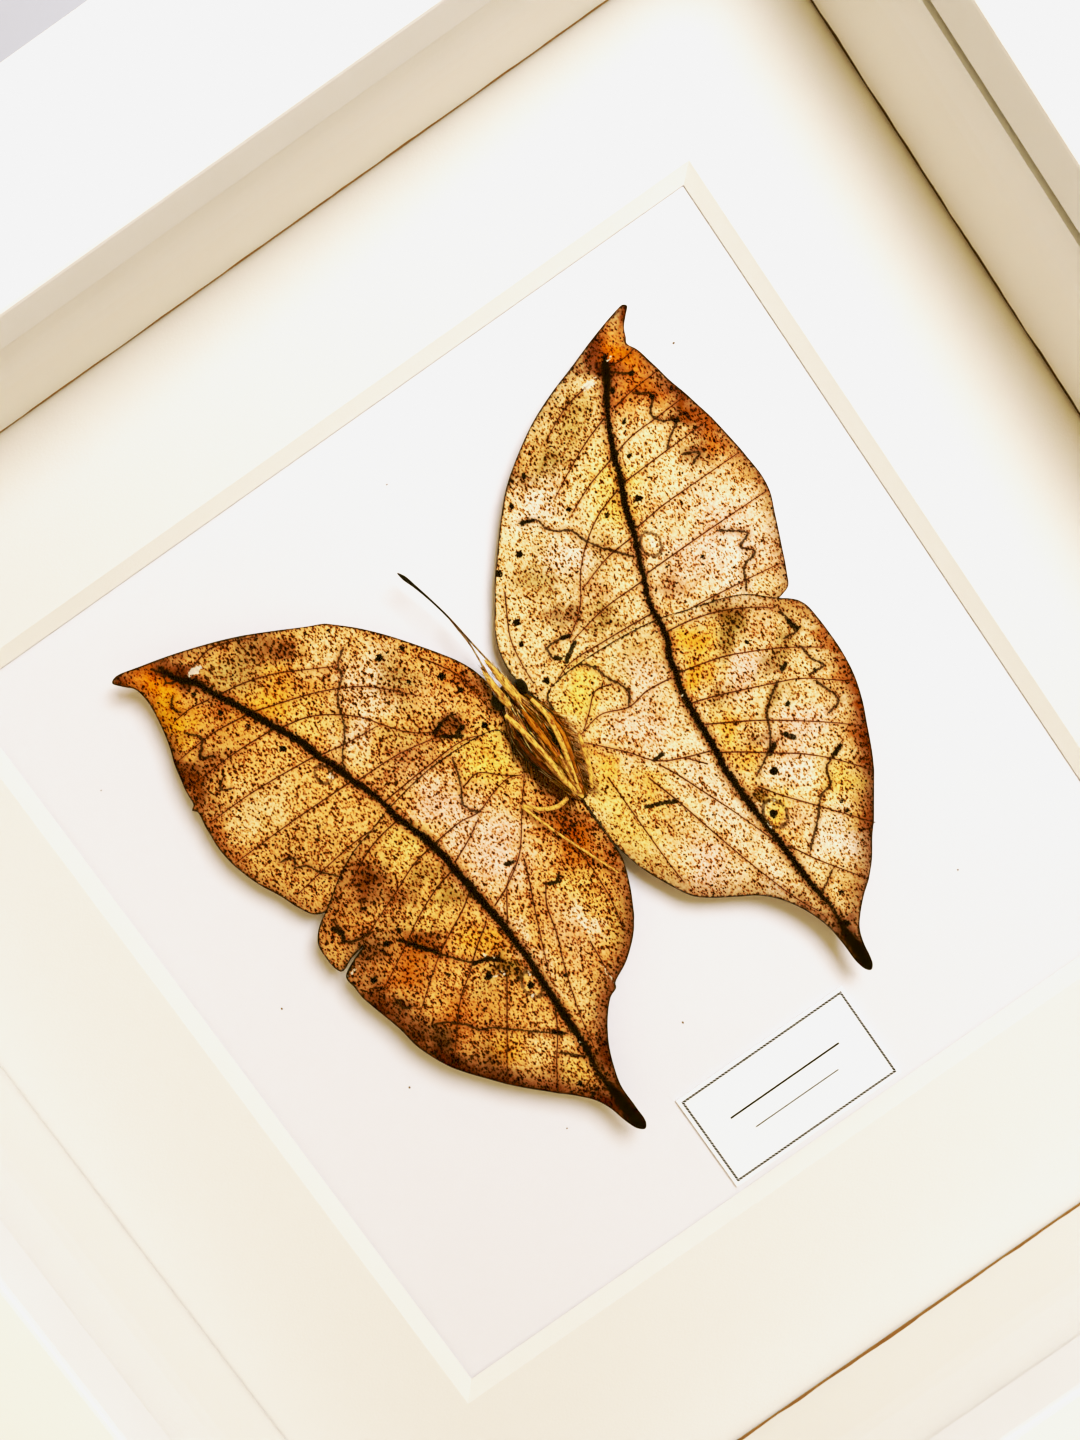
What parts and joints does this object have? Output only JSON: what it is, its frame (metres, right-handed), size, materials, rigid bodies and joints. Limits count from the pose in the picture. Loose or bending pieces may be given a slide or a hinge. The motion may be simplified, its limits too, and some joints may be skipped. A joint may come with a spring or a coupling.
{
  "type": "framed butterfly specimen",
  "caption": "Deep white box frame with a bevelled mat, holding a dead-leaf butterfly mounted underside up on card above a small bordered label.",
  "frame": {"origin": "middle of the frame on the plane of its back", "axes": "+Z is the way the frame faces, +Y is up when it hangs or stands, +X is to the right for a person who looks at it"},
  "size_m": [0.25, 0.25, 0.045],
  "materials": {
    "frame_paint": "satin white paint on wood",
    "glass": "clear float glass",
    "spacer_board": "matt white paper-faced board",
    "mat_board": "matt white board with a cream bevel",
    "backing_card": "matt white card",
    "hardboard": "pressed brown fibreboard",
    "steel": "zinc plated",
    "label_paper": "smooth white paper",
    "wing_left": "dry scales, orange brown with dark specks",
    "wing_right": "dry scales, ochre and lilac with dark specks",
    "body": "fine pale scales and hair",
    "limb": "dry pale cuticle",
    "glue": "dried clear glue"
  },
  "bodies": {
    "root": {"frame_rail_top": "frame_paint", "frame_rail_bottom": "frame_paint", "frame_rail_left": "frame_paint", "frame_rail_right": "frame_paint", "glass": "glass", "spacer_top": "spacer_board", "spacer_bottom": "spacer_board", "spacer_left": "spacer_board", "spacer_right": "spacer_board", "mat": "mat_board", "backing_card": "backing_card", "back_panel": "hardboard", "bend_tab_1": "steel", "bend_tab_2": "steel", "bend_tab_3": "steel", "bend_tab_4": "steel", "bend_tab_5": "steel", "bend_tab_6": "steel", "bend_tab_7": "steel", "bend_tab_8": "steel", "hanger": "steel", "label": "label_paper", "forewing_left": "wing_left", "forewing_right": "wing_right", "hindwing_left": "wing_left", "hindwing_right": "wing_right", "body": "body", "antenna_left": "limb", "antenna_right": "limb", "leg_left": "limb", "leg_right": "limb", "folded_leg_left": "limb", "folded_leg_right": "limb", "glue_dab": "glue"}
  },
  "joints": []
}
